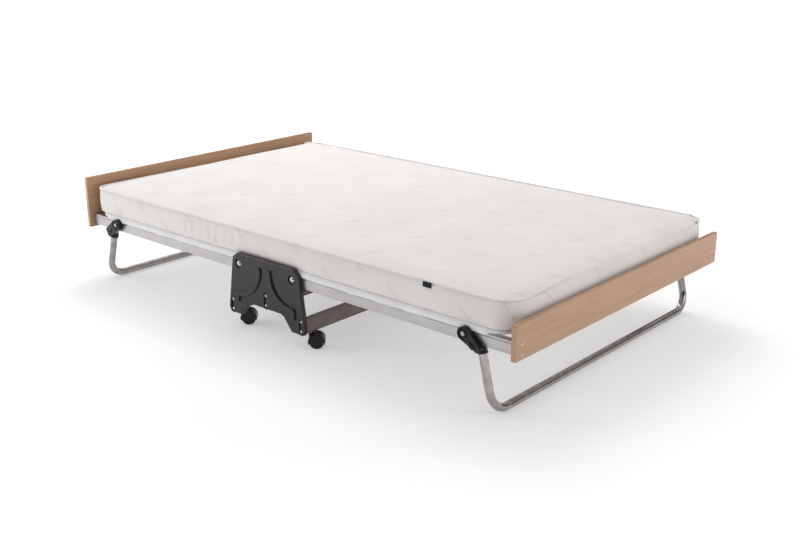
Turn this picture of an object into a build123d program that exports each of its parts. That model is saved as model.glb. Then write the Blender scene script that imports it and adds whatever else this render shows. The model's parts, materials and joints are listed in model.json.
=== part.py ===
from build123d import *
import os
from math import asin, atan2, cos, degrees, radians, sin, tan

# Folding rollaway bed, lying open. Millimetres.
# Origin: on the floor, under the middle of the bed. +X towards the foot end, -Y the near side, +Z up.
# Two halves fold up about the fold bolts of a centre stand on castors. Each half carries a U leg,
# which a link rod on each side keeps upright while the half swings.

# ---------------------------------------------------------------- driving dimensions
LENGTH = 1990  # over the two end panels
PANEL_WIDTH = 1184
PANEL_THICK = 15
PANEL_BOTTOM = 194
HEAD_PANEL_TOP = 386
FOOT_PANEL_TOP = 301

PIVOT_Z = 233  # height of every fold and leg pivot
RAIL_Z = 226  # height of the side rails' centreline
RAIL_Y = 562.5
RAIL_WIDTH = 25
RAIL_HEIGHT = 40
RAIL_WALL = 2.25
RAIL_INNER_END = 106
GROOVE_Z = 239  # of the groove in the rail's outer face that takes the deck's edge

FOLD_X = 127
LEG_X = 816
LINK_OFFSET = 33  # of a link's pins, outboard and below the pivot they belong to

PLATE_FRONT = 591  # |Y| of the hinge plate's outer face
PLATE_BACK = 577
PLATE_SHEET = 3
PLATE_TOP = 270
PLATE_FOOT = 53
POCKET_DEPTH = 4
RIB_HEIGHT = 6
RIB_HALF = 8  # half the width of a rib
RIB_BOW = 103  # radius of a rib's bow round the fold bolt
BOLT_POCKET = (54, 15)
BOLT_PAD = (62, 21)
FOLD_POCKET_RADIUS = 16
FOLD_PAD_RADIUS = 20

CROSS_X = 164
CROSS_WIDTH = 20
CROSS_HEIGHT = 50
CROSS_OUTER_Z = 82
CROSS_MIDDLE_Z = 131.5
CROSS_WALL = 2.5
CROSS_SOLID = 24  # length of the solid ends
DRAIN_Y = 300
BOLT_SPACING = 34
BOLT_HOLE_RADIUS = 3.05

LEG_Y = 569
LEG_RADIUS = 12.5
LEG_WALL = 1.5
COLLAR_WALL = 2
SUNK = 3  # depth of the fields between a bracket's ribs
HUB_RADIUS = 21  # of a bracket round its rivet
LEG_BEND = 62
BRACKET_INNER_Y = 577
BRACKET_OUTER_Y = 593
LINK_Y = 541
# the floor run's offset from the pivot, the lean, and the height of the tube's top
LEG_SHAPE = {"head": (94, 16, 192), "foot": (95, 13.5, 199)}

WHEEL_RADIUS = 24
WHEEL_WIDTH = 15.5
CASTOR_WEB = 7
CASTOR_TRAIL = 18
CASTOR_Y = 545
CASTOR_TURN = 41  # degrees that the near castors point round from +X
TYRE_ROUND = 2
DISH_DEPTH = 1.2
WHEEL_GAP = 0.5  # between a wheel and the hood's web
BLIND = 3.5  # thickness of a wheel beyond its blind bore
HOOD_RADIUS = 28
HOOD_WIDTH = 40
HOOD_SHELL = 3
HOOD_CUT = 8  # the hood stops this far below the axle
HOOD_NECK_TOP = 53
NECK_RADIUS = 9
AXLE_RADIUS = 3
STEM_RADIUS = 5.5
STEM_TOP = 94
STEM_SEAT = 9  # depth of the stem in the hood's neck
SOCKET_RADIUS = 7.4
SOCKET_LENGTH = 44
SOCKET_FLANGE = (9.5, 2)  # radius and thickness

DECK_BOTTOM = 246.5
DECK_TOP = 262.5
DECK_WIDTH = 1146
DECK_END = 958
DECK_CORNER = 74
SKIRT_END = 884  # |X| where the deck's edge leaves the rails
SKIRT_START = 152  # |X| where the deck's turned-down edge begins, clear of the hinge plate
MATTRESS_BOTTOM = 263
MATTRESS_TOP = 350
MATTRESS_WIDTH = 1140
MATTRESS_END = 962
MATTRESS_CORNER = {"head": 42, "foot": 70}
MATTRESS_ROUND = 10
SOFT_MIDDLE = 129.7  # half length of the soft pieces that bend across the stand
SOFT_GAP = 0.3

RUNNING = 0.05  # radial clearance of a pin that turns in its bore
FOLD_BOLT_RADIUS = 6
LEG_RIVET_RADIUS = 5
LINK_PIN_RADIUS = 4

PANEL_INNER_X = LENGTH / 2 - PANEL_THICK
END_BAR_X = PANEL_INNER_X - 16
RAIL_TOP = RAIL_Z + RAIL_HEIGHT / 2
RAIL_OUTER_Y = RAIL_Y + RAIL_WIDTH / 2
RAIL_INNER_Y = RAIL_Y - RAIL_WIDTH / 2
SCREW_Z = 15  # of the panel screws above and below the rail's centreline
SCREW_RADIUS = 2.2
CAP_THICK = 2
CROSS_END_Y = PLATE_FRONT - POCKET_DEPTH - 4
LINK_Z = PIVOT_Z - LINK_OFFSET
ENDS = {"head": -1, "foot": 1}

os.makedirs("parts", exist_ok=True)


# ---------------------------------------------------------------- helpers
def keep(part, label):
    part.label = label
    export_step(part, f"parts/{label}.step")


def mirrored(part, plane):
    with BuildPart() as copy:
        mirror(part, about=plane)
    return copy.part


def keep_sides(near, stem):
    """Keeps a near side piece and its mirror image on the far side."""
    keep(near, f"{stem}_near")
    keep(mirrored(near, Plane.XZ), f"{stem}_far")


def keep_ends(foot, stem):
    """Keeps a foot end piece and its mirror image at the head end."""
    keep(foot, f"{stem}_foot")
    keep(mirrored(foot, Plane.YZ), f"{stem}_head")


def side_plane(distance):
    """A vertical plane on the near side, drawn in X and Z, that extrudes outwards."""
    return Plane.XZ.offset(distance)


def domed_pin(seat, direction, head, height, shank, depth):
    """A domed head on its seat, facing along direction, with a round shank behind it."""
    plane = Plane(origin=seat, z_dir=direction)
    with BuildPart() as pin:
        with BuildSketch(Plane(origin=seat, x_dir=plane.x_dir, z_dir=-plane.y_dir)):
            with BuildLine():
                rim = Line((0, 0), (head, 0))
                ball = (head**2 + height**2) / (2 * height)
                half_turn = asin(head / ball) / 2
                middle = (ball * sin(half_turn), height - ball + ball * cos(half_turn))
                cap = ThreePointArc(rim @ 1, middle, (0, height))
                Line(cap @ 1, rim @ 0)
            make_face()
        revolve(axis=Axis(plane.origin, plane.z_dir))
        with BuildSketch(plane):
            Circle(shank)
        extrude(amount=-depth)
    return pin.part


# ---------------------------------------------------------------- centre stand
# the hinge plate's outline: a wide top, leaning sides and two feet around an arch
half_outline = [
    (133, PLATE_TOP), (157, 252), (184, 70), (175, PLATE_FOOT), (120, PLATE_FOOT), (86, 96), (70, 103)
]
with BuildSketch() as plate_outline:
    with BuildLine():
        Polyline(*half_outline, *[(-x, z) for x, z in reversed(half_outline)], close=True)
    make_face()
    fillet(vertices(), radius=7)

bolt_groups = [(-CROSS_X, CROSS_OUTER_Z), (0, CROSS_MIDDLE_Z), (CROSS_X, CROSS_OUTER_Z)]
cross_bolts = [(x, z + k * BOLT_SPACING / 2) for x, z in bolt_groups for k in (-1, 1)]
fold_points = [(-FOLD_X, PIVOT_Z), (FOLD_X, PIVOT_Z)]
anchor_x = FOLD_X + LINK_OFFSET
anchor_points = [(-anchor_x, LINK_Z), (anchor_x, LINK_Z)]

with BuildPart() as hinge_plate:
    with BuildSketch(side_plane(PLATE_BACK)):
        add(plate_outline.sketch)
    extrude(amount=PLATE_FRONT - PLATE_BACK)
    fillet(faces().sort_by(Axis.Y)[0].outer_wire().edges(), radius=4)
    with BuildSketch(side_plane(PLATE_BACK)):
        add(plate_outline.sketch)
        offset(amount=-PLATE_SHEET)
    extrude(amount=PLATE_FRONT - PLATE_BACK - PLATE_SHEET, mode=Mode.SUBTRACT)
    # raised ribs that curve round the fold bolts and hook down to the feet
    with BuildSketch(side_plane(PLATE_FRONT - 1)):
        for turn in (1, -1):
            with BuildLine():
                bow = CenterArc((turn * FOLD_X, PIVOT_Z), RIB_BOW, 180 if turn == 1 else 0, turn * 82)
                hook = Line(bow @ 1, (turn * 132, PIVOT_Z - 104))
                Line(hook @ 1, (turn * 134, 106))
                offset(amount=RIB_HALF)
            make_face()
    ribs = extrude(amount=RIB_HEIGHT + 1)
    fillet(ribs.faces().group_by(Axis.Y)[0].edges(), radius=RIB_HEIGHT / 2)
    # pressed pockets for the bolts, with a pad behind each
    with BuildSketch(side_plane(CROSS_END_Y)):
        with Locations(*bolt_groups):
            SlotOverall(*BOLT_PAD, rotation=90)
        with Locations(*fold_points):
            Circle(FOLD_PAD_RADIUS)
        with Locations(*anchor_points):
            Circle(6.5)
    extrude(amount=PLATE_FRONT - PLATE_SHEET - CROSS_END_Y)
    with BuildSketch(side_plane(PLATE_BACK)):
        with Locations(*anchor_points):
            Circle(LINK_PIN_RADIUS)
    extrude(amount=PLATE_FRONT - PLATE_SHEET - PLATE_BACK, mode=Mode.SUBTRACT)
    with BuildSketch(side_plane(PLATE_FRONT - POCKET_DEPTH)):
        with Locations(*bolt_groups):
            SlotOverall(*BOLT_POCKET, rotation=90)
        with Locations(*fold_points):
            Circle(FOLD_POCKET_RADIUS)
    extrude(amount=POCKET_DEPTH, mode=Mode.SUBTRACT)
    with BuildSketch(side_plane(PLATE_BACK)):
        with Locations(*cross_bolts):
            Circle(BOLT_HOLE_RADIUS)
        with Locations(*fold_points):
            Circle(FOLD_BOLT_RADIUS)
    extrude(amount=PLATE_FRONT, mode=Mode.SUBTRACT)
keep_sides(hinge_plate.part, "hinge_plate")


def cross_rail(x, z):
    """A painted box-section rail across the stand, drained underneath, with solid drilled ends."""
    with BuildPart() as rail:
        with BuildSketch(Plane.XZ):
            with Locations((x, z)):
                RectangleRounded(CROSS_WIDTH, CROSS_HEIGHT, 2.5)
        extrude(amount=CROSS_END_Y, both=True)
        with BuildSketch(Plane.XZ):
            with Locations((x, z)):
                Rectangle(CROSS_WIDTH - 2 * CROSS_WALL, CROSS_HEIGHT - 2 * CROSS_WALL)
        extrude(amount=CROSS_END_Y - CROSS_SOLID, both=True, mode=Mode.SUBTRACT)
        # the rolled lines below the top edge and above the bottom edge, on both faces
        with BuildSketch(Plane.XZ):
            for side in (-1, 1):
                with Locations((x + side * CROSS_WIDTH / 2, z + 19), (x + side * CROSS_WIDTH / 2, z - 21)):
                    Rectangle(2.4, 2.6)
        extrude(amount=CROSS_END_Y - CROSS_SOLID, both=True, mode=Mode.SUBTRACT)
        with BuildSketch(Plane.XZ):
            with Locations((x, z - BOLT_SPACING / 2), (x, z + BOLT_SPACING / 2)):
                Circle(BOLT_HOLE_RADIUS)
        extrude(amount=CROSS_END_Y, both=True, mode=Mode.SUBTRACT)
        with BuildSketch(Plane.XY.offset(z - CROSS_HEIGHT / 2)):
            with Locations((x, -DRAIN_Y), (x, DRAIN_Y)):
                Circle(4)
            if x:
                with Locations((x, -CASTOR_Y), (x, CASTOR_Y)):
                    Circle(SOCKET_RADIUS + 0.1)
        extrude(amount=CROSS_WALL, mode=Mode.SUBTRACT)
    return rail.part


for place, (rail_x, rail_z) in zip(("head", "middle", "foot"), bolt_groups):
    keep(cross_rail(rail_x, rail_z), f"cross_rail_{place}")

pocket_floor_y = POCKET_DEPTH - PLATE_FRONT
with BuildPart() as cross_rail_bolts:
    for x, z in cross_bolts:
        add(domed_pin((x, pocket_floor_y, z), (0, -1, 0), 6, 4, 3, 28))
keep_sides(cross_rail_bolts.part, "cross_rail_bolts")

with BuildPart() as fold_bolts:
    for x, z in fold_points:
        add(domed_pin((x, pocket_floor_y, z), (0, -1, 0), 11, 6.5, FOLD_BOLT_RADIUS, 52))
        with BuildSketch(side_plane(RAIL_INNER_Y - 9.5)):
            with Locations((x, z)):
                RegularPolygon(10, 6)
        extrude(amount=9)
keep_sides(fold_bolts.part, "fold_bolts")

with BuildPart() as fold_bushes:
    with BuildSketch(side_plane(RAIL_OUTER_Y + 0.5)):
        with Locations(*fold_points):
            Circle(12)
            Circle(FOLD_BOLT_RADIUS, mode=Mode.SUBTRACT)
    extrude(amount=CROSS_END_Y - RAIL_OUTER_Y - 0.5)
keep_sides(fold_bushes.part, "fold_bushes")


def link_pins(points, outer):
    """Round pins that the link rods turn on, each with a washer inside the rod's eye."""
    with BuildPart() as pins:
        for start, length, radius in (
            (LINK_Y - 6, outer - LINK_Y + 6, LINK_PIN_RADIUS),
            (LINK_Y - 7, 2, 6.5),
        ):
            with BuildSketch(side_plane(start)):
                with Locations(*points):
                    Circle(radius)
            extrude(amount=length)
    return pins.part


anchors = link_pins(anchor_points, PLATE_FRONT - PLATE_SHEET)
keep_sides(anchors, "link_anchor_pins")

with BuildPart() as castor_sockets:
    socket_foot = CROSS_OUTER_Z - CROSS_HEIGHT / 2
    for y in (-CASTOR_Y, CASTOR_Y):
        with BuildSketch(Plane.XY.offset(socket_foot)):
            with Locations((CROSS_X, y)):
                Circle(SOCKET_RADIUS)
        extrude(amount=SOCKET_LENGTH)
        flange_radius, flange = SOCKET_FLANGE
        with BuildSketch(Plane.XY.offset(socket_foot - flange)):
            with Locations((CROSS_X, y)):
                Circle(flange_radius)
        extrude(amount=flange)
        with BuildSketch(Plane.XY.offset(socket_foot - flange)):
            with Locations((CROSS_X, y)):
                Circle(STEM_RADIUS + RUNNING)
        extrude(amount=STEM_TOP - socket_foot + 3, mode=Mode.SUBTRACT)
keep_ends(castor_sockets.part, "castor_sockets")


# ---------------------------------------------------------------- castors
def upright(x, y, turn):
    """A vertical plane through a castor's stem: local x along the trail, local y up."""
    c, s = cos(radians(turn)), sin(radians(turn))
    return Plane(origin=(x, y, 0), x_dir=(c, s, 0), z_dir=(s, -c, 0))


def castor(end, side, x, y, turn):
    """A hooded twin-wheel castor: hood, steel pins, and the wheel pair on its axle."""
    plane = upright(x, y, turn)
    axle = (CASTOR_TRAIL, WHEEL_RADIUS)
    stem_foot = HOOD_NECK_TOP - STEM_SEAT
    with BuildPart() as hood:
        with BuildSketch(plane):
            with Locations(axle):
                Circle(HOOD_RADIUS)
            with Locations((CASTOR_TRAIL, WHEEL_RADIUS - HOOD_CUT - HOOD_RADIUS)):
                Rectangle(2 * HOOD_RADIUS, 2 * HOOD_RADIUS, mode=Mode.SUBTRACT)
        extrude(amount=HOOD_WIDTH / 2, both=True)
        with BuildSketch(Plane.XY.offset(HOOD_NECK_TOP - 20)):
            with Locations((x, y)):
                Circle(NECK_RADIUS)
        extrude(amount=20)
        for way in (1, -1):
            with BuildSketch(plane.offset(way * CASTOR_WEB / 2)):
                with Locations(axle):
                    Circle(HOOD_RADIUS - HOOD_SHELL)
            extrude(amount=way * HOOD_WIDTH, mode=Mode.SUBTRACT)
        with BuildSketch(plane):
            with Locations(axle):
                Circle(AXLE_RADIUS)
        extrude(amount=CASTOR_WEB, both=True, mode=Mode.SUBTRACT)
        with BuildSketch(Plane.XY.offset(stem_foot)):
            with Locations((x, y)):
                Circle(STEM_RADIUS)
        extrude(amount=HOOD_NECK_TOP - stem_foot, mode=Mode.SUBTRACT)
    keep(hood.part, f"castor_hood_{end}_{side}")

    # the swivel stem and the axle, two steel pins
    with BuildPart() as pins:
        with BuildSketch(Plane.XY.offset(stem_foot)):
            with Locations((x, y)):
                Circle(STEM_RADIUS)
        extrude(amount=STEM_TOP - stem_foot)
        chamfer(edges().sort_by(Axis.Z)[-1], 1)
        with BuildSketch(Plane.XY.offset(HOOD_NECK_TOP)):
            with Locations((x, y)):
                Circle(8)
        extrude(amount=1.6)
        with BuildSketch(plane):
            with Locations(axle):
                Circle(AXLE_RADIUS)
        extrude(amount=CASTOR_WEB / 2 + WHEEL_WIDTH - BLIND - 0.5, both=True)
    keep(pins.part, f"castor_pins_{end}_{side}")

    with BuildPart() as wheels:
        for way in (1, -1):
            with BuildSketch(plane.offset(way * (CASTOR_WEB / 2 + WHEEL_GAP))):
                with Locations(axle):
                    Circle(WHEEL_RADIUS)
            extrude(amount=way * WHEEL_WIDTH)
        fillet(edges().filter_by(GeomType.CIRCLE), TYRE_ROUND)
        for way in (1, -1):
            # a shallow dish round the hub, and the blind bore that runs on the axle
            with BuildSketch(plane.offset(way * (CASTOR_WEB / 2 + WHEEL_GAP + WHEEL_WIDTH))):
                with Locations(axle):
                    Circle(WHEEL_RADIUS - 5)
                    Circle(8, mode=Mode.SUBTRACT)
            extrude(amount=-way * DISH_DEPTH, mode=Mode.SUBTRACT)
            with BuildSketch(plane):
                with Locations(axle):
                    Circle(AXLE_RADIUS + RUNNING)
            extrude(amount=way * (CASTOR_WEB / 2 + WHEEL_WIDTH - BLIND), mode=Mode.SUBTRACT)
    keep(wheels.part, f"castor_wheels_{end}_{side}")


for end, way in ENDS.items():
    castor(end, "near", way * CROSS_X, -CASTOR_Y, CASTOR_TURN)
    castor(end, "far", way * CROSS_X, CASTOR_Y, 180 - CASTOR_TURN)


# ---------------------------------------------------------------- folding halves
rail_length = PANEL_INNER_X - RAIL_INNER_END

with BuildPart() as rail:
    with BuildSketch(Plane.YZ.offset(RAIL_INNER_END)):
        with Locations((-RAIL_Y, RAIL_Z)):
            RectangleRounded(RAIL_WIDTH, RAIL_HEIGHT, 2)
            Rectangle(RAIL_WIDTH - 2 * RAIL_WALL, RAIL_HEIGHT - 2 * RAIL_WALL, mode=Mode.SUBTRACT)
        # round ports for the panel screws, and the groove that holds the deck's edge
        with Locations((-RAIL_Y, RAIL_Z - SCREW_Z), (-RAIL_Y, RAIL_Z + SCREW_Z)):
            Circle(4.5)
            Circle(SCREW_RADIUS, mode=Mode.SUBTRACT)
        with Locations((-RAIL_OUTER_Y + 3, GROOVE_Z)):
            Rectangle(6, 6)
        with Locations((-RAIL_OUTER_Y + 1.5, GROOVE_Z)):
            Rectangle(3, 2.4, mode=Mode.SUBTRACT)
        # a shallow line along the lower part of the outer face
        with Locations((-RAIL_OUTER_Y, RAIL_Z - 13)):
            Rectangle(1.2, 1.8, mode=Mode.SUBTRACT)
    extrude(amount=rail_length)
    for hole_x, hole_radius in ((FOLD_X, FOLD_BOLT_RADIUS + RUNNING), (LEG_X, LEG_RIVET_RADIUS)):
        with BuildSketch(side_plane(RAIL_INNER_Y - 1)):
            with Locations((hole_x, PIVOT_Z)):
                Circle(hole_radius)
        extrude(amount=RAIL_WIDTH + 2, mode=Mode.SUBTRACT)
rail_foot_near = rail.part
rail_head_near = mirrored(rail_foot_near, Plane.YZ)
keep_sides(rail_foot_near, "rail_foot")
keep_sides(rail_head_near, "rail_head")

with BuildPart() as rail_caps:
    for y in (-RAIL_Y, RAIL_Y):
        with BuildSketch(Plane.YZ.offset(RAIL_INNER_END - CAP_THICK)):
            with Locations((y, RAIL_Z)):
                RectangleRounded(RAIL_WIDTH, RAIL_HEIGHT, 2)
        extrude(amount=CAP_THICK)
        with BuildSketch(Plane.YZ.offset(RAIL_INNER_END)):
            with Locations((y, RAIL_Z - 5)):
                Rectangle(16, 9)
        extrude(amount=8)
keep_ends(rail_caps.part, "rail_caps")

with BuildPart() as end_bar:
    with BuildSketch(Plane.XZ):
        with Locations((END_BAR_X, RAIL_TOP - 14)):
            RectangleRounded(20, 26, 2.5)
            Rectangle(16, 22, mode=Mode.SUBTRACT)
    extrude(amount=RAIL_INNER_Y, both=True)
keep_ends(end_bar.part, "end_bar")

screw_points = [(y, RAIL_Z + k * SCREW_Z) for y in (-RAIL_Y, RAIL_Y) for k in (-1, 1)]


def panel(top):
    """A wooden end panel at the foot end, drilled for its four screws."""
    with BuildPart() as board:
        with BuildSketch(Plane.YZ.offset(PANEL_INNER_X)):
            with Locations((0, (PANEL_BOTTOM + top) / 2)):
                RectangleRounded(PANEL_WIDTH, top - PANEL_BOTTOM, 4)
        extrude(amount=PANEL_THICK)
        fillet(faces().sort_by(Axis.X)[-1].outer_wire().edges(), radius=1.5)
        with BuildSketch(Plane.YZ.offset(PANEL_INNER_X)):
            with Locations(*screw_points):
                Circle(2.5)
        extrude(amount=PANEL_THICK, mode=Mode.SUBTRACT)
    return board.part


keep(mirrored(panel(HEAD_PANEL_TOP), Plane.YZ), "head_panel")
keep(panel(FOOT_PANEL_TOP), "foot_panel")

with BuildPart() as panel_screws:
    for y, z in screw_points:
        add(domed_pin((LENGTH / 2, y, z), (1, 0, 0), 5.5, 3, SCREW_RADIUS, 40))
keep_ends(panel_screws.part, "panel_screws")

with BuildPart() as leg_rivet:
    add(domed_pin((LEG_X, -BRACKET_OUTER_Y, PIVOT_Z), (0, -1, 0), 6.5, 4, LEG_RIVET_RADIUS, 47))
    with BuildSketch(side_plane(RAIL_INNER_Y - 4)):
        with Locations((LEG_X, PIVOT_Z)):
            Circle(9)
    extrude(amount=4)
with BuildPart() as leg_rivets:
    add(leg_rivet.part)
    mirror(leg_rivet.part, about=Plane.XZ)
keep_ends(leg_rivets.part, "leg_rivets")

with BuildPart() as deck:
    deck_start = SOFT_MIDDLE + SOFT_GAP
    with BuildSketch(Plane.XY.offset(DECK_BOTTOM)):
        with Locations(((deck_start + DECK_END) / 2, 0)):
            Rectangle(DECK_END - deck_start, DECK_WIDTH)
        fillet(vertices().group_by(Axis.X)[-1], radius=DECK_CORNER)
    extrude(amount=DECK_TOP - DECK_BOTTOM)
    # the edges turn down over the rails and are tucked into their grooves
    skirt_top = (DECK_BOTTOM + DECK_TOP) / 2
    with BuildSketch(Plane.YZ.offset(SKIRT_START)):
        for way in (-1, 1):
            with Locations((way * (RAIL_OUTER_Y + 0.6), (skirt_top + GROOVE_Z) / 2 - 0.5)):
                Rectangle(1, skirt_top - GROOVE_Z + 1)
            with Locations((way * (RAIL_OUTER_Y - 0.9), GROOVE_Z)):
                Rectangle(2.2, 1.6)
            with Locations((way * (RAIL_OUTER_Y - 1.4), skirt_top - 3)):
                Rectangle(5, 6)
    extrude(amount=SKIRT_END - SKIRT_START)
keep_ends(deck.part, "deck")


def mattress(end):
    """One half's block of the mattress, with rounded corners and edges at the bed's end."""
    length = MATTRESS_END - SOFT_MIDDLE - SOFT_GAP
    with BuildPart() as block:
        with BuildSketch(Plane.XY.offset(MATTRESS_BOTTOM)):
            with Locations((MATTRESS_END - length / 2, 0)):
                Rectangle(length, MATTRESS_WIDTH)
            fillet(vertices().group_by(Axis.X)[-1], radius=MATTRESS_CORNER[end])
        extrude(amount=MATTRESS_TOP - MATTRESS_BOTTOM)
        levels = edges().group_by(Axis.Z)
        rim = levels[0] + levels[-1]
        fillet(rim.filter_by(lambda e: e.center().X > SOFT_MIDDLE + 1), radius=MATTRESS_ROUND)
    return block.part


keep(mattress("foot"), "mattress_foot")
keep(mirrored(mattress("head"), Plane.YZ), "mattress_head")

# the soft pieces that bend over the stand when the bed is folded
with BuildPart() as deck_middle:
    with BuildSketch(Plane.XY.offset(DECK_BOTTOM)):
        Rectangle(2 * SOFT_MIDDLE, DECK_WIDTH)
    extrude(amount=DECK_TOP - DECK_BOTTOM)
keep(deck_middle.part, "deck_middle")

with BuildPart() as mattress_middle:
    with BuildSketch(Plane.XY.offset(MATTRESS_BOTTOM)):
        Rectangle(2 * SOFT_MIDDLE, MATTRESS_WIDTH)
    extrude(amount=MATTRESS_TOP - MATTRESS_BOTTOM)
    fillet(edges().filter_by(Axis.X), radius=MATTRESS_ROUND)
keep(mattress_middle.part, "mattress_middle")


# ---------------------------------------------------------------- legs and links
def leg_line(end):
    """A leg's two straight ends, on the near side: its floor corner and its top."""
    reach, lean, top_z = LEG_SHAPE[end]
    way = ENDS[end]
    corner = Vector(way * (LEG_X + reach), -LEG_Y, LEG_RADIUS)
    rise = top_z - LEG_RADIUS
    top = corner + Vector(-way * rise * tan(radians(lean)), 0, rise)
    return corner, top


def leg_tube(end):
    corner, top = leg_line(end)
    with BuildPart() as tube:
        with BuildLine() as route:
            far_side = [Vector(p.X, -p.Y, p.Z) for p in (corner, top)]
            FilletPolyline(top, corner, *far_side, radius=LEG_BEND)
        start = Plane(origin=top, z_dir=corner - top)
        with BuildSketch(start):
            Circle(LEG_RADIUS)
            Circle(LEG_RADIUS - LEG_WALL, mode=Mode.SUBTRACT)
        sweep(path=route.wires()[0])
    return tube.part


def leg_bracket(end):
    """The moulded bracket from the leg pivot down to the collar that holds the tube."""
    way = ENDS[end]
    corner, top = leg_line(end)
    down = (corner - top).normalized()
    pivot = (way * LEG_X, PIVOT_Z)
    heel = (way * (LEG_X + LINK_OFFSET), LINK_Z)
    collar = (top.X, top.Z)
    with BuildPart() as bracket:
        with BuildSketch(side_plane(BRACKET_INNER_Y)):
            with Locations(pivot):
                Circle(HUB_RADIUS)
            with Locations(collar):
                Circle(12)
            if end == "head":
                with Locations((way * (LEG_X + 60), PIVOT_Z - 26)):
                    Circle(4)
            make_hull()
        with BuildSketch(side_plane(BRACKET_INNER_Y)):
            with Locations(pivot):
                Circle(16)
            with Locations(heel):
                Circle(8)
            make_hull()
        extrude(amount=BRACKET_OUTER_Y - BRACKET_INNER_Y)
        fillet(faces().sort_by(Axis.Y)[0].outer_wire().edges(), radius=2)
        # sunk fields beside the rivet and down the arm, which leave raised ribs
        with BuildSketch(side_plane(BRACKET_OUTER_Y - SUNK)):
            with Locations(pivot):
                Circle(17)
                Circle(10, mode=Mode.SUBTRACT)
                Rectangle(5, 50, rotation=way * 45, mode=Mode.SUBTRACT)
            arm = Vector(collar[0] - pivot[0], collar[1] - pivot[1])
            with Locations((pivot[0] + 0.68 * arm.X, pivot[1] + 0.68 * arm.Y)):
                SlotOverall(22, 9, rotation=degrees(atan2(arm.Y, arm.X)))
        extrude(amount=SUNK, mode=Mode.SUBTRACT)
        # the collar round the tube, with a rim at its mouth
        for start, length, wall in ((-1, 17, COLLAR_WALL), (11, 5, COLLAR_WALL + 1.5)):
            with BuildSketch(Plane(origin=top + down * start, z_dir=down)):
                Circle(LEG_RADIUS + wall)
            extrude(amount=length)
        with BuildSketch(Plane(origin=top, z_dir=down)):
            Circle(LEG_RADIUS)
        extrude(amount=40, mode=Mode.SUBTRACT)
        with BuildSketch(side_plane(BRACKET_INNER_Y)):
            with Locations(pivot):
                Circle(LEG_RIVET_RADIUS + RUNNING)
        extrude(amount=BRACKET_OUTER_Y - BRACKET_INNER_Y, mode=Mode.SUBTRACT)
    return bracket.part


with BuildPart() as link_rod:
    with BuildSketch(Plane.YZ.offset(anchor_x)):
        with Locations((-LINK_Y, LINK_Z)):
            Circle(4)
    extrude(amount=LEG_X - FOLD_X)
    with BuildSketch(side_plane(LINK_Y)):
        with Locations((anchor_x, LINK_Z), (LEG_X + LINK_OFFSET, LINK_Z)):
            Circle(8)
    extrude(amount=4, both=True)
    with BuildSketch(side_plane(LINK_Y)):
        with Locations((anchor_x, LINK_Z), (LEG_X + LINK_OFFSET, LINK_Z)):
            Circle(LINK_PIN_RADIUS + RUNNING)
    extrude(amount=6, both=True, mode=Mode.SUBTRACT)
keep_sides(link_rod.part, "link_rod_foot")
keep_sides(mirrored(link_rod.part, Plane.YZ), "link_rod_head")

for end, way in ENDS.items():
    keep(leg_tube(end), f"leg_tube_{end}")
    keep_sides(leg_bracket(end), f"leg_bracket_{end}")
    near_pin = link_pins([(way * (LEG_X + LINK_OFFSET), LINK_Z)], BRACKET_INNER_Y)
    with BuildPart() as leg_link_pins:
        add(near_pin)
        mirror(near_pin, about=Plane.XZ)
    keep(leg_link_pins.part, f"link_pins_{end}")
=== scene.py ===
import json
from math import cos, hypot, pi, radians, sin

import bmesh
import bpy
import numpy as np
from mathutils import Matrix, Vector


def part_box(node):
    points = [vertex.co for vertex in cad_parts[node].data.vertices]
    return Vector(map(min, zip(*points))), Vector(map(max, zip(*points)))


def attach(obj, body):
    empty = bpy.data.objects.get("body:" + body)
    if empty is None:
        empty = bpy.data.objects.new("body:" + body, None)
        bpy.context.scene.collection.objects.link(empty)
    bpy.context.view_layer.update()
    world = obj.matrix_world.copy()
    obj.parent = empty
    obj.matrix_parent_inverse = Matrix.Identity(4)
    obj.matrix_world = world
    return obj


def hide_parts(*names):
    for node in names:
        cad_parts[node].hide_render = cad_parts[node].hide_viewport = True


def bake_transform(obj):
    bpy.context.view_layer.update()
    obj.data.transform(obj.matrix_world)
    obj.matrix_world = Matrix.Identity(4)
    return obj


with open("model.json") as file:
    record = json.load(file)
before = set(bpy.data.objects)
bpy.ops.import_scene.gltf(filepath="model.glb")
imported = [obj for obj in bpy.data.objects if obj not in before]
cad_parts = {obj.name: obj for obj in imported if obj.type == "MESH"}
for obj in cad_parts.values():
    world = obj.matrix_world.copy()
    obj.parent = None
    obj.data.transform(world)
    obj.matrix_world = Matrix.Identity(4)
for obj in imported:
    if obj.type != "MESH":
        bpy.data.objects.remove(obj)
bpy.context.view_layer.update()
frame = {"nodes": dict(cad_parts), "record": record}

# A folding guest bed, lying open. Metres, +X towards the foot end, -Y the near side, +Z up.
NODES = frame["nodes"]
SLOTS = {part["node"]: part["material_slot"] for part in frame["record"]["subparts"]}


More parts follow.
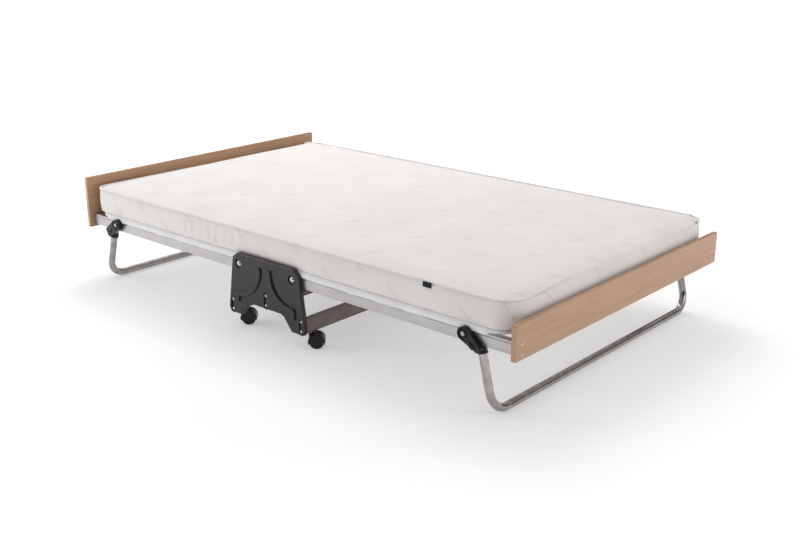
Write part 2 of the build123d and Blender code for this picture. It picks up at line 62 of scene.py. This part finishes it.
# ---------------------------------------------------------------- node graph helpers
class Graph:
    """A material's node tree, with short ways to add and join nodes."""

    def __init__(self, name, color, roughness, metallic=0.0, **sockets):
        self.material = bpy.data.materials.new(name)
        self.material.use_nodes = True
        self.tree = self.material.node_tree
        self.shader = self.tree.nodes["Principled BSDF"]
        self.shader.inputs["Base Color"].default_value = (*color, 1)
        self.shader.inputs["Roughness"].default_value = roughness
        self.shader.inputs["Metallic"].default_value = metallic
        for socket, value in sockets.items():
            self.shader.inputs[socket.replace("_", " ")].default_value = value

    def add(self, kind, values=None, **settings):
        node = self.tree.nodes.new(kind)
        for key, value in settings.items():
            setattr(node, key, value)
        for socket, value in (values or {}).items():
            self.put(node.inputs[socket], value)
        return node

    def put(self, socket, value):
        if isinstance(value, bpy.types.NodeSocket):
            self.tree.links.new(value, socket)
        else:
            socket.default_value = value

    def math(self, operation, a, b=0.0):
        return self.add("ShaderNodeMath", {0: a, 1: b}, operation=operation).outputs[0]

    def place(self, scale=(1, 1, 1)):
        """Points on the piece at rest, in metres, stretched by scale."""
        where = self.add("ShaderNodeTexCoord").outputs["Object"]
        return self.add("ShaderNodeMapping", {"Vector": where, "Scale": scale}).outputs[0]

    def noise(self, scale, detail=3.0, stretch=(1, 1, 1), vector=None):
        vector = vector or self.place(stretch)
        values = {"Vector": vector, "Scale": scale, "Detail": detail}
        return self.add("ShaderNodeTexNoise", values).outputs[0]

    def ramp(self, factor, *stops):
        """A colour ramp: stops are (position, colour)."""
        node = self.add("ShaderNodeValToRGB", {"Fac": factor})
        elements = node.color_ramp.elements
        while len(elements) < len(stops):
            elements.new(0.5)
        for element, (position, color) in zip(elements, stops):
            element.position = position
            element.color = (*color, 1)
        return node.outputs[0]

    def span(self, factor, low, high, start=0.0, end=1.0):
        values = {"Value": factor, "From Min": start, "From Max": end, "To Min": low, "To Max": high}
        return self.add("ShaderNodeMapRange", values).outputs[0]

    def blend(self, factor, a, b, kind="MIX"):
        node = self.add("ShaderNodeMix", data_type="RGBA", blend_type=kind)
        self.put(node.inputs["Factor"], factor)
        self.put(node.inputs["A"], a if isinstance(a, bpy.types.NodeSocket) else (*a, 1))
        self.put(node.inputs["B"], b if isinstance(b, bpy.types.NodeSocket) else (*b, 1))
        return node.outputs["Result"]

    def color(self, socket):
        self.put(self.shader.inputs["Base Color"], socket)

    def roughness(self, socket):
        self.put(self.shader.inputs["Roughness"], socket)

    def bump(self, height, distance, strength=1.0, under=None):
        """Adds a bump of that height in metres. under is an earlier bump that it lies on."""
        values = {"Height": height, "Distance": distance, "Strength": strength}
        node = self.add("ShaderNodeBump", values)
        if under:
            self.put(node.inputs["Normal"], under)
        self.put(self.shader.inputs["Normal"], node.outputs[0])
        return node.outputs[0]


# ---------------------------------------------------------------- materials
TOP_MARK = 10  # added to the first cloth coordinate of the mattress's top and bottom
SIDE_ROW = 0.123  # puts two rows of motifs on its sides
MOTIF_PERIOD = 0.27  # between motifs, along the bed
STITCH_STRENGTH = 0.62  # how strongly the stitches' tan shows
DIAGONAL = 0.7071


def beech_laminate():
    g = Graph("beech_laminate", (0.5, 0.33, 0.22), 0.42, Coat_Weight=0.15, Coat_Roughness=0.3)
    figure = g.noise(9, 4, (1, 0.16, 1))
    grain = g.noise(120, 3, (1, 0.035, 1))
    flecks = g.noise(420, 2, (1, 0.06, 1))
    base = g.ramp(figure, (0.3, (0.47, 0.268, 0.152)), (0.7, (0.55, 0.325, 0.190)))
    lines = g.ramp(grain, (0.35, (0.90, 0.87, 0.84)), (0.6, (1, 1, 1)))
    dots = g.ramp(flecks, (0.30, (0.84, 0.79, 0.74)), (0.38, (1, 1, 1)))
    g.color(g.blend(0.7, g.blend(1.0, base, lines, "MULTIPLY"), dots, "MULTIPLY"))
    g.roughness(g.span(grain, 0.36, 0.5))
    g.bump(flecks, 0.00008, 0.5)
    return g.material


def satin_aluminium():
    g = Graph("satin_aluminium", (0.49, 0.475, 0.48), 0.36, 0.9)
    streaks = g.noise(700, 2, (0.004, 1, 1))
    cloud = g.noise(14, 3)
    g.roughness(g.math("ADD", g.span(streaks, 0.26, 0.4), g.span(cloud, -0.03, 0.05)))
    g.color(g.ramp(cloud, (0.3, (0.46, 0.44, 0.445)), (0.7, (0.52, 0.50, 0.505))))
    g.bump(streaks, 0.00004, 0.4)
    return g.material


def powder_coat(name, dark, light, roughness):
    """Baked paint with a fine orange peel, a little cloudy in its colour."""
    g = Graph(name, light, roughness, Specular_IOR_Level=0.4)
    cloud = g.noise(22, 4)
    peel = g.noise(1400, 1)
    g.color(g.ramp(cloud, (0.35, dark), (0.65, light)))
    g.roughness(g.span(g.noise(30, 3), roughness - 0.03, roughness + 0.05))
    g.bump(peel, 0.00002, 0.15)
    return g.material


def bright_tube():
    # painted shade: the tube's colour is kept far darker than bright steel, standing in for the dark
    # reflections round the legs
    g = Graph("bright_tube", (0.36, 0.335, 0.32), 0.16, 1.0)
    smudge = g.noise(35, 4)
    polish = g.noise(500, 2, (1, 0.02, 0.05))
    g.roughness(g.math("ADD", g.span(smudge, 0.1, 0.22), g.span(polish, -0.02, 0.03)))
    # the smudges only vary a colour that is already darkened as painted shade
    g.color(g.ramp(smudge, (0.3, (0.30, 0.275, 0.26)), (0.7, (0.42, 0.40, 0.39))))
    g.bump(polish, 0.00002, 0.3)
    return g.material


def moulded_plastic(name, color, roughness):
    g = Graph(name, color, roughness, Specular_IOR_Level=0.35)
    spark = g.noise(1500, 1)
    cloud = g.noise(50, 3)
    g.color(g.ramp(cloud, (0.3, [c * 0.8 for c in color]), (0.7, [c * 1.25 for c in color])))
    g.roughness(g.span(cloud, roughness - 0.07, roughness + 0.07))
    g.bump(spark, 0.00008, 0.6)
    return g.material


def zinc_steel():
    g = Graph("zinc_steel", (0.72, 0.72, 0.73), 0.24, 1.0)
    cloud = g.noise(180, 3)
    g.color(g.ramp(cloud, (0.3, (0.42, 0.42, 0.43)), (0.7, (0.6, 0.6, 0.6))))
    g.roughness(g.span(cloud, 0.16, 0.34))
    g.bump(g.noise(2500, 1), 0.00002, 0.4)
    return g.material


def cell_mask(g, u, v, period_v, shift):
    """Two broken, wavy stitched lines at 45 degrees in each cell of a lattice, as a mask."""
    cu = g.math("SUBTRACT", g.math("FRACT", g.math("ADD", g.math("DIVIDE", u, MOTIF_PERIOD), shift)), 0.5)
    cv = g.math("SUBTRACT", g.math("FRACT", g.math("ADD", g.math("DIVIDE", v, period_v), shift)), 0.5)
    cu, cv = g.math("MULTIPLY", cu, MOTIF_PERIOD), g.math("MULTIPLY", cv, period_v)
    along = g.math("MULTIPLY", g.math("ADD", cu, cv), DIAGONAL)
    across = g.math("MULTIPLY", g.math("SUBTRACT", cu, cv), DIAGONAL)
    wave = g.math("MULTIPLY", g.math("SINE", g.math("MULTIPLY", along, 260)), 0.0014)
    across = g.math("ADD", across, wave)
    lines = g.math("ABSOLUTE", g.math("SUBTRACT", g.math("ABSOLUTE", across), 0.0040))
    inside = g.span(g.math("ABSOLUTE", along), 1.0, 0.0, 0.020, 0.027)
    soft = g.span(lines, 1.0, 0.0, 0.0012, 0.0036)
    return g.math("MULTIPLY", soft, inside)


def knitted_ticking():
    g = Graph("knitted_ticking", (0.80, 0.765, 0.735), 0.85, Sheen_Weight=0.25, Sheen_Roughness=0.5)
    uv = g.add("ShaderNodeUVMap", uv_map="cloth").outputs[0]
    parts = g.add("ShaderNodeSeparateXYZ", {0: uv})
    u, v = parts.outputs[0], parts.outputs[1]
    on_top = g.math("GREATER_THAN", u, TOP_MARK / 2)
    period_v = g.math("ADD", 0.1, g.math("MULTIPLY", on_top, 0.1))
    stitches = g.math("MAXIMUM", cell_mask(g, u, v, period_v, 0.0), cell_mask(g, u, v, period_v, 0.5))
    breaks = g.span(g.noise(230, 1, vector=uv), 0.0, 1.0, 0.44, 0.56)
    stitches = g.math("MULTIPLY", stitches, breaks)
    cloud = g.noise(5, 3)
    base = g.ramp(cloud, (0.3, (0.765, 0.732, 0.712)), (0.7, (0.815, 0.782, 0.766)))
    g.color(g.blend(g.math("MULTIPLY", stitches, STITCH_STRENGTH), base, (0.60, 0.46, 0.31)))
    knit = g.add("ShaderNodeTexVoronoi", {"Vector": uv, "Scale": 620, "Randomness": 0.35}).outputs[0]
    low = g.bump(g.noise(28, 3), 0.0012, 0.35)
    fine = g.bump(knit, 0.0003, 0.5, under=low)
    g.bump(stitches, 0.0005, 0.6, under=fine)
    return g.material


def woven_cloth(name, color, pitch=0.0011, sheen=0.2):
    g = Graph(name, color, 0.8, Sheen_Weight=sheen)
    place = g.place()
    parts = g.add("ShaderNodeSeparateXYZ", {0: place})
    turn = 2 * pi / pitch
    warp = g.math("SINE", g.math("MULTIPLY", parts.outputs[0], turn))
    weft = g.math("SINE", g.math("MULTIPLY", parts.outputs[1], turn))
    weave = g.math("MULTIPLY", warp, weft)
    cloud = g.noise(18, 3)
    g.color(g.ramp(cloud, (0.3, [c * 0.93 for c in color]), (0.7, color)))
    g.bump(weave, 0.00015, 0.35, under=g.bump(cloud, 0.0015, 0.3))
    return g.material


MATERIALS = {
    "wood_laminate": beech_laminate(),
    "rail_aluminium": satin_aluminium(),
    "plate_paint": powder_coat("plate_paint", (0.019, 0.0145, 0.0185), (0.024, 0.0185, 0.0225), 0.32),
    "cross_paint": powder_coat("cross_paint", (0.172, 0.128, 0.112), (0.205, 0.156, 0.138), 0.4),
    "leg_chrome": bright_tube(),
    "black_plastic": moulded_plastic("black_plastic", (0.0055, 0.005, 0.006), 0.30),
    "wheel_plastic": moulded_plastic("wheel_plastic", (0.008, 0.009, 0.010), 0.45),
    "zinc_steel": zinc_steel(),
    "link_steel": powder_coat("link_steel", (0.018, 0.018, 0.02), (0.026, 0.026, 0.028), 0.35),
    "deck_cloth": woven_cloth("deck_cloth", (0.87, 0.855, 0.855)),
    "ticking": knitted_ticking(),
}
PIPING = woven_cloth("piping_tape", (0.84, 0.82, 0.805), 0.0016)
TAG = woven_cloth("tag_cloth", (0.003, 0.003, 0.0035), 0.0007, 0.0)

for node, piece in NODES.items():
    for place in piece.material_slots:
        place.material = MATERIALS[SLOTS[node]]


# ---------------------------------------------------------------- mesh helpers
def mesh_object(name, points, faces, material, smooth=True):
    mesh = bpy.data.meshes.new(name)
    mesh.from_pydata([tuple(p) for p in points], [], faces)
    mesh.materials.append(material)
    mesh.polygons.foreach_set("use_smooth", [smooth] * len(mesh.polygons))
    mesh.update()
    piece = bpy.data.objects.new(name, mesh)
    bpy.context.scene.collection.objects.link(piece)
    return piece


def applied(piece):
    """The piece with its modifiers applied, under the same name."""
    bpy.context.view_layer.update()
    graph = bpy.context.evaluated_depsgraph_get()
    mesh = bpy.data.meshes.new_from_object(piece.evaluated_get(graph))
    piece.modifiers.clear()
    piece.data = mesh
    return piece


def tube(name, path, radius, material, sides=10):
    """A round piping cord along a list of points, open at both ends."""
    points, faces = [], []
    path = [Vector(p) for p in path]
    for i, p in enumerate(path):
        along = (path[min(i + 1, len(path) - 1)] - path[max(i - 1, 0)]).normalized()
        side = along.cross(Vector((0, 0, 1))).normalized()
        up = side.cross(along)
        for k in range(sides):
            a = 2 * pi * k / sides
            points.append(p + radius * (cos(a) * side + sin(a) * up))
    for i in range(len(path) - 1):
        for k in range(sides):
            n = (k + 1) % sides
            faces.append((i * sides + k, i * sides + n, (i + 1) * sides + n, (i + 1) * sides + k))
    return mesh_object(name, points, faces, material)


# ---------------------------------------------------------------- mattress
low = np.array(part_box("mattress_head")[0])
high = np.array(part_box("mattress_foot")[1])
SIZE = high - low
CORNER = {"head": 0.046, "foot": 0.075}  # corner radii in plan
CELL = 0.0125
ROWS = [0, 0.05, 0.13, 0.26, 0.42, 0.58, 0.74, 0.87, 0.95, 1]  # heights of the side rows
EDGE_IN = 0.0075  # how far the top piped edge is drawn in
BOTTOM_EDGE_SHARE = 0.4  # and the bottom one, as a share of that
EDGE_DOWN = 0.004  # how far the top piped edge is drawn down
SWELL = 0.004  # how far the sides swell between the edges
CROWN = 0.0075  # how far the top rises away from its edges
CROWN_REACH = 0.07  # over about this distance
SIDE_CROWN = 0.004  # a second rise, from the long sides to the middle
FACE, FLOOR_SHARE = 0.999, 0.001  # shares beyond these lie on the plain block's faces
HALVES = {"head": -1, "foot": 1}


def rounded_plan(x, y, inset=0.0):
    """Moves points of a rectangle into one with round corners, keeping its straight sides."""
    half = SIZE[:2] / 2 - inset
    middle = (low[:2] + high[:2]) / 2
    dx, dy = x - middle[0], y - middle[1]
    radius = np.where(dx < 0, CORNER["head"], CORNER["foot"])
    ax, ay = np.abs(dx) - (half[0] - radius), np.abs(dy) - (half[1] - radius)
    corner = (ax > 0) & (ay > 0)
    length = np.where(corner, np.hypot(ax, ay), 1.0)
    pull = np.where(corner, np.maximum(ax, ay) / length, 1.0)
    ax, ay = np.where(corner, ax * pull, ax), np.where(corner, ay * pull, ay)
    x = middle[0] + np.sign(dx) * (half[0] - radius + ax)
    y = middle[1] + np.sign(dy) * (half[1] - radius + ay)
    return x, y


PULLS = [  # x, y, length, width and lean of each
    (-0.20, -0.37, 0.10, 0.012, 0.35), (-0.13, -0.33, 0.13, 0.014, 0.30), (-0.06, -0.38, 0.09, 0.010, 0.42),
    (0.03, -0.30, 0.12, 0.013, 0.25), (0.12, -0.25, 0.11, 0.012, 0.30), (0.20, -0.33, 0.08, 0.011, 0.38),
]
PULL_HEIGHT = 0.0016
CREASE_HEIGHT = 0.0030
CREASE_X, CREASE_REACH = -0.30, 0.17  # where the near side's creases are, and how far they spread


def bell(t, centre, width):
    return np.exp(-(((t - centre) / width) ** 2))


def mattress_shape(p):
    """Crown, full sides and the loose cover's creases, for points on the plain block."""
    x, y, z = p.T
    rise = (z - low[2]) / SIZE[2]
    half = SIZE / 2
    u = np.clip(np.abs(x - (low[0] + high[0]) / 2) / half[0], 0, 1)
    v = np.clip(np.abs(y) / half[1], 0, 1)
    wall = (u > FACE) | (v > FACE)
    rim = wall & ((rise > FACE) | (rise < FLOOR_SHARE))
    x, y = rounded_plan(x, y)
    # the sides swell a little between the two piped edges, which are drawn in
    out = SWELL * np.sin(pi * rise) - EDGE_IN * rim * np.where(rise > 0.5, 1, BOTTOM_EDGE_SHARE)
    away_x = np.where(u > FACE, np.sign(p[:, 0]), 0)
    away_y = np.where(v > FACE, np.sign(p[:, 1]), 0)
    length = np.maximum(np.hypot(away_x, away_y), 1)
    x, y = x + out * away_x / length, y + out * away_y / length
    top = (rise > FACE) & ~wall
    edge = np.minimum((1 - u) * half[0], (1 - v) * half[1])
    crown = CROWN * (1 - np.exp(-edge / CROWN_REACH)) + SIDE_CROWN * (1 - v**2)
    drift = 0.0013 * np.sin(7.1 * x + 3.2 * y) * np.sin(5.3 * y - 2.4 * x)
    # shallow pulls that run in from the near edge beside the stand
    pulls = np.zeros_like(x)
    for cx, cy, length, width, lean in PULLS:
        across = (x - cx) - lean * (y - cy)
        ridge = bell(across, 0, width) - 0.6 * bell(across, 1.7 * width, width)
        pulls += PULL_HEIGHT * bell(y, cy, length) * ridge
    z = z + np.where(top, crown + drift + pulls, 0) - np.where(rim & (rise > 0.5), EDGE_DOWN, 0)
    # upright creases in the near side, over the head half's end of the stand
    crease = np.sin(2 * pi * (x / 0.037 + 0.35 * np.sin(11 * x))) + 0.5 * np.sin(2 * pi * x / 0.021)
    crease *= CREASE_HEIGHT * bell(x, CREASE_X, CREASE_REACH) * np.sin(pi * np.clip(rise, 0, 1))
    near = (v > FACE) & (p[:, 1] < 0)
    y = y + np.where(near, crease, 0)
    return np.stack([x, y, z], 1)


def mattress_grid():
    """Points, faces and cloth coordinates of a closed block, in cells of about CELL."""
    counts = [2 * round(SIZE[0] / CELL / 2), round(SIZE[1] / CELL), len(ROWS) - 1]
    index, points, faces, cloth = {}, [], [], []

    def at(*ijk):
        if ijk not in index:
            index[ijk] = len(points)
            points.append(spot(ijk))
        return index[ijk]

    def spot(ijk):
        share = (ijk[0] / counts[0], ijk[1] / counts[1], ROWS[ijk[2]])
        return low + SIZE * share

    for axis in range(3):
        a, b = [k for k in range(3) if k != axis]
        for end in (0, counts[axis]):
            for i in range(counts[a]):
                for j in range(counts[b]):
                    ring = [(i, j), (i + 1, j), (i + 1, j + 1), (i, j + 1)]
                    if (end > 0) == (axis == 1):
                        ring.reverse()
                    face = []
                    for s, t in ring:
                        ijk = [0, 0, 0]
                        ijk[axis], ijk[a], ijk[b] = end, s, t
                        face.append(at(*ijk))
                        place = spot(ijk)
                        if b == 2:
                            cloth.append((place[a], SIDE_ROW - (place[b] - low[2])))
                        else:
                            cloth.append((place[a] + TOP_MARK, place[b]))
                    faces.append(face)
    return np.array(points), faces, cloth


def half_of(piece, name, way):
    """The part of a finished mesh on one side of X = 0, shaded as if it were still whole."""
    mesh = piece.data.copy()
    normals = np.zeros(len(mesh.vertices) * 3, np.float32)
    mesh.vertices.foreach_get("normal", normals)
    mesh.attributes.new("whole_normal", "FLOAT_VECTOR", "POINT").data.foreach_set("vector", normals)
    bm = bmesh.new()
    bm.from_mesh(mesh)
    other = [f for f in bm.faces if f.calc_center_median().x * way < 0]
    bmesh.ops.delete(bm, geom=other, context="FACES")
    bm.to_mesh(mesh)
    bm.free()
    kept = np.zeros(len(mesh.vertices) * 3, np.float32)
    mesh.attributes["whole_normal"].data.foreach_get("vector", kept)
    mesh.attributes.remove(mesh.attributes["whole_normal"])
    mesh.normals_split_custom_set_from_vertices(kept.reshape(-1, 3).tolist())
    half = bpy.data.objects.new(name, mesh)
    bpy.context.scene.collection.objects.link(half)
    return half


def bend_with(piece):
    """Bakes the soft piece's placement into its points."""
    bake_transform(piece)


PUFF_FRAMES = 20
PUFF_MOST = 0.004


def puffed(piece, pinned, most):
    """Lets the cover fill out under a little pressure, with the pinned points held.

    No point ends further than most from where it was, so of a large swell only the start is kept.
    """
    before = np.array([v.co[:] for v in piece.data.vertices])
    group = piece.vertex_groups.new(name="pinned")
    group.add([int(i) for i in np.flatnonzero(pinned)], 1.0, "REPLACE")
    cloth = piece.modifiers.new("cloth", "CLOTH")
    settings = cloth.settings
    settings.quality = 4
    settings.mass = 0.3
    settings.tension_stiffness = settings.compression_stiffness = 12
    settings.shear_stiffness = 4
    settings.bending_stiffness = 0.6
    settings.use_pressure = True
    settings.uniform_pressure_force = 4
    settings.effector_weights.gravity = 0
    settings.vertex_group_mass = "pinned"
    cloth.collision_settings.use_collision = False
    scene = bpy.context.scene
    for step in range(1, PUFF_FRAMES + 1):
        scene.frame_set(step)
    applied(piece)
    scene.frame_set(1)
    piece.vertex_groups.clear()
    after = np.array([v.co[:] for v in piece.data.vertices])
    moved = after - before
    far = np.linalg.norm(moved, axis=1, keepdims=True)
    moved *= most * np.tanh(far / most) / np.maximum(far, 1e-9)
    piece.data.vertices.foreach_set("co", (before + moved).astype(np.float32).ravel())
    piece.data.update()


points, faces, cloth = mattress_grid()
whole = mesh_object("mattress_whole", mattress_shape(points), faces, MATERIALS["ticking"])
level = (points[:, 2] - low[2]) / SIZE[2]
side = np.abs(points[:, 1]) > SIZE[1] / 2 - 1e-6
side |= (points[:, 0] < low[0] + 1e-6) | (points[:, 0] > high[0] - 1e-6)
held = (side & ((level > FACE) | (level < FLOOR_SHARE))) | (level < FLOOR_SHARE)
puffed(whole, held, PUFF_MOST)
layer = whole.data.uv_layers.new(name="cloth")
layer.data.foreach_set("uv", np.array(cloth, np.float32).ravel())
whole.modifiers.new("smooth", "SUBSURF").levels = 1
applied(whole)
mattress_halves = {end: half_of(whole, f"mattress_cover_{end}", way) for end, way in HALVES.items()}
bpy.data.objects.remove(whole)


def outline(end, z, out):
    """Half of the mattress's edge at height z, from the near side round the end to the far side."""
    way = HALVES[end]
    x_end = (high[0] if way > 0 else low[0]) + way * out
    y_edge = SIZE[1] / 2 + out
    radius = CORNER[end] + out
    straight = np.linspace(0, x_end - way * radius, 60)
    path = [(x, -y_edge, z) for x in straight]
    for side in (-1, 1):
        centre = (x_end - way * radius, side * (y_edge - radius))
        turns = np.linspace(0, pi / 2, 12)[1:]
        for a in turns if side < 0 else pi / 2 - turns[::-1] + turns[0]:
            path.append((centre[0] + way * radius * sin(a), centre[1] + side * radius * cos(a), z))
    path += [(x, y_edge, z) for x in straight[::-1]]
    clean = [path[0]]
    for p in path[1:]:
        if hypot(p[0] - clean[-1][0], p[1] - clean[-1][1]) > 0.003:
            clean.append(p)
    return clean


PIPING_RADIUS = 0.0034
PIPING_LINES = (("top", high[2] - 0.0015, -0.0006), ("bottom", low[2] + 0.002, -0.0035))  # name, height, out

for end in HALVES:
    piece = mattress_halves[end]
    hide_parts(f"mattress_{end}", *(["mattress_middle"] if end == "foot" else []))
    bend_with(piece)
    for level, z, out in PIPING_LINES:
        cord = tube(f"mattress_piping_{level}_{end}", outline(end, z, out), PIPING_RADIUS, PIPING)
        bend_with(cord)

# a plain sewn-in tag on the near side
tag_low = (0.655, -SIZE[1] / 2 - 0.006, high[2] - 0.0185)
TAG_WIDTH, TAG_HEIGHT = 0.032, 0.015
TAG_COLUMNS, TAG_ROWS = 10, 6
tag_points, tag_faces = [], []
for i in range(TAG_COLUMNS + 1):
    for j in range(TAG_ROWS + 1):
        s, t = i / TAG_COLUMNS, j / TAG_ROWS
        bulge = 0.0012 * sin(pi * s) * (1 - t)
        y = tag_low[1] - bulge + 0.002 * t
        tag_points.append((tag_low[0] + TAG_WIDTH * s, y, tag_low[2] + TAG_HEIGHT * t))
for i in range(TAG_COLUMNS):
    for j in range(TAG_ROWS):
        a = i * (TAG_ROWS + 1) + j
        tag_faces.append((a, a + TAG_ROWS + 1, a + TAG_ROWS + 2, a + 1))
tag = mesh_object("mattress_tag", tag_points, tag_faces, TAG)
thick = tag.modifiers.new("thick", "SOLIDIFY")
thick.thickness = 0.0009
applied(tag)
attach(tag, "foot_half")


# ---------------------------------------------------------------- deck cloth
deck_low = np.array(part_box("deck_head")[0])
deck_high = np.array(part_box("deck_foot")[1])
RAIL_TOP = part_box("rail_foot_near")[1][2]
RAIL_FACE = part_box("rail_foot_far")[1][1]
GROOVE = RAIL_TOP - 0.007  # height at which the cloth is tucked into the rail
DECK_TOP = deck_high[2] - 0.0008
DECK_CORNER = 0.074  # the cloth's corners are cut round, like the mattress's
HEM = [(0.0, 0.0), (0.0035, -0.0015), (0.005, -0.005), (0.0052, -0.010), (0.004, -0.013)]  # out and down


def deck_profile(x, turn):
    """The cloth's section: out of the near groove, up over the rail, across and down again.

    turn is how far round its corner the cloth has come, where its edge hangs free of the rail.
    """
    free = min(turn / 0.2, 1.0)
    tuck = GROOVE + 0.004 * cos(pi * x / 1.1) ** 2 + 0.0008 * sin(x * 47) + 0.0006 * sin(x * 113)
    tuck += free * (DECK_TOP - 0.0125 - tuck)
    edge = RAIL_FACE + 0.0009 - DECK_CORNER * (1 - cos(turn)) - 0.002 * free
    edge += free * 0.0016 * sin(turn * 34)
    rise = (DECK_TOP - 0.006 - tuck) / 3
    puff = 0.0012 * sin(x * 21) * sin(x * 9)
    near = [
        (-edge + 0.0019, tuck), (-edge, tuck + 0.0004), (-edge - 0.0014 - puff, tuck + rise),
        (-edge - 0.0016 - puff, tuck + 2 * rise), (-edge + 0.0005, DECK_TOP - 0.006),
        (-edge + 0.004, DECK_TOP - 0.0015), (-edge + 0.011, DECK_TOP),
    ]
    width = edge - 0.013
    flat = [(y, DECK_TOP - 0.0008 * cos(pi * y / 1.12)) for y in np.linspace(-width, width, 60)]
    return near + flat + [(-y, z) for y, z in near[::-1]]


for end, way in HALVES.items():
    deck_end = abs(deck_high[0] if way > 0 else deck_low[0]) - 0.0055
    straight = deck_end - DECK_CORNER
    stations = [(x, 0.0, 0.0) for x in np.linspace(0, straight, 110)]
    stations += [(straight + DECK_CORNER * sin(a), a, 0.0) for a in np.linspace(0, pi / 2, 25)[1:]]
    stations += [(deck_end + out, pi / 2, drop) for out, drop in HEM[1:]]
    points, faces = [], []
    for x, turn, drop in stations:
        near_end = bell(x, deck_end, 0.05)
        for y, z in deck_profile(way * x, turn):
            gather = near_end * (0.0022 * sin(2 * pi * y / 0.019) + 0.0015 * sin(2 * pi * y / 0.043))
            inner = z > DECK_TOP - 0.002
            fall = drop + gather * 0.5 if inner else 0
            points.append((way * (x + (gather if drop else 0)), y, z + fall))
    row = len(deck_profile(0, 0))
    for i in range(len(stations) - 1):
        for k in range(row - 1):
            a = i * row + k
            face = (a, a + row, a + row + 1, a + 1)
            faces.append(face if way > 0 else face[::-1])
    sheet = mesh_object(f"deck_cloth_{end}", points, faces, MATERIALS["deck_cloth"])
    thick = sheet.modifiers.new("thick", "SOLIDIFY")
    thick.thickness = 0.0012
    applied(sheet)
    profile = deck_profile(0, 0)
    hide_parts(f"deck_{end}", *(["deck_middle"] if end == "foot" else []))
    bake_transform(sheet)

# ---------------------------------------------------------------- floor, light and camera
# the floor glows a little, so that the shadow under the bed stays as pale as in a white studio
FLOOR = Graph("floor", (0.66, 0.66, 0.66), 0.95, Emission_Color=(1, 1, 1, 1), Emission_Strength=0.4)
away = FLOOR.add("ShaderNodeVectorMath", {0: FLOOR.place()}, operation="LENGTH").outputs["Value"]
GLOW_NEAR, GLOW_FAR = 0.36, 0.85  # of the floor, up to 1.2 m from the bed's middle and past 3.2 m; the weaker glow near the bed is painted shade round it
FLOOR.put(FLOOR.shader.inputs["Emission Strength"], FLOOR.span(away, GLOW_NEAR, GLOW_FAR, 1.2, 3.2))
FAR = 300  # half the floor's side
corners = [(-FAR, -FAR, 0), (FAR, -FAR, 0), (FAR, FAR, 0), (-FAR, FAR, 0)]
floor = mesh_object("floor", corners, [(0, 1, 2, 3)], FLOOR.material)
floor.location.z = -0.0005

# a bright ceiling over a darker room
world = bpy.data.worlds.new("studio")
bpy.context.scene.world = world
world.use_nodes = True
tree = world.node_tree
direction = tree.nodes.new("ShaderNodeTexCoord")
height = tree.nodes.new("ShaderNodeSeparateXYZ")
ramp = tree.nodes.new("ShaderNodeValToRGB")
tree.links.new(direction.outputs["Generated"], height.inputs[0])
tree.links.new(height.outputs[2], ramp.inputs[0])
# the room is darker on its front side, between the two side lights
front = tree.nodes.new("ShaderNodeVectorMath")
front.operation = "DOT_PRODUCT"
front.inputs[1].default_value = (0.66, -0.75, 0.0)
tree.links.new(direction.outputs["Generated"], front.inputs[0])
dim = tree.nodes.new("ShaderNodeMapRange")
dim.interpolation_type = "SMOOTHSTEP"
for socket, value in {"From Min": 0.1, "From Max": 0.95, "To Min": 1.0, "To Max": 0.3}.items():
    dim.inputs[socket].default_value = value
tree.links.new(front.outputs["Value"], dim.inputs["Value"])
mixed = tree.nodes.new("ShaderNodeVectorMath")
mixed.operation = "SCALE"
tree.links.new(ramp.outputs[0], mixed.inputs[0])
tree.links.new(dim.outputs[0], mixed.inputs["Scale"])
tree.links.new(mixed.outputs[0], tree.nodes["Background"].inputs[0])
SKY = [(0.0, 0.95), (0.15, 0.16), (0.36, 0.14), (0.56, 0.9), (1.0, 1.0)]  # height and brightness
SKY_STRENGTH = 0.86
while len(ramp.color_ramp.elements) < len(SKY):
    ramp.color_ramp.elements.new(0.5)
for element, (position, level) in zip(ramp.color_ramp.elements, SKY):
    element.position = position
    element.color = (level, level, level, 1)
tree.nodes["Background"].inputs[1].default_value = SKY_STRENGTH


def softbox(name, place, aim, size, power):
    light = bpy.data.lights.new(name, "AREA")
    light.shape = "RECTANGLE"
    light.size, light.size_y = size
    light.energy = power
    lamp = bpy.data.objects.new(name, light)
    lamp.location = place
    lamp.rotation_euler = (Vector(aim) - Vector(place)).to_track_quat("-Z", "Y").to_euler()
    bpy.context.scene.collection.objects.link(lamp)


softbox("overhead", (-1.7, 1.3, 2.9), (-0.2, 0, 0.3), (2.4, 2.4), 64)
softbox("left", (-3.0, -3.0, 1.5), (-0.3, -0.4, 0.3), (1.5, 1.5), 44)
softbox("right", (3.8, 0.9, 1.5), (0.8, 0, 0.3), (1.4, 1.4), 20)

# the camera that was fitted to the photograph
CAMERA_PLACE = (2.5303, -2.8207, 1.3529)
camera_data = bpy.data.cameras.new("camera")
camera_data.sensor_width = 36
camera_data.lens = 48.98
camera = bpy.data.objects.new("camera", camera_data)
azimuth, elevation, roll = radians(41.12), radians(18.23), radians(0.16)
back = Vector((sin(azimuth) * cos(elevation), -cos(azimuth) * cos(elevation), sin(elevation)))
right = Vector((cos(azimuth), sin(azimuth), 0))
up = back.cross(right)
right, up = cos(roll) * right + sin(roll) * up, cos(roll) * up - sin(roll) * right
turn = Matrix((right, up, back)).transposed().to_4x4()
camera.matrix_world = Matrix.Translation(CAMERA_PLACE) @ turn
bpy.context.scene.collection.objects.link(camera)
bpy.context.scene.camera = camera
bpy.context.scene.view_settings.view_transform = "Standard"
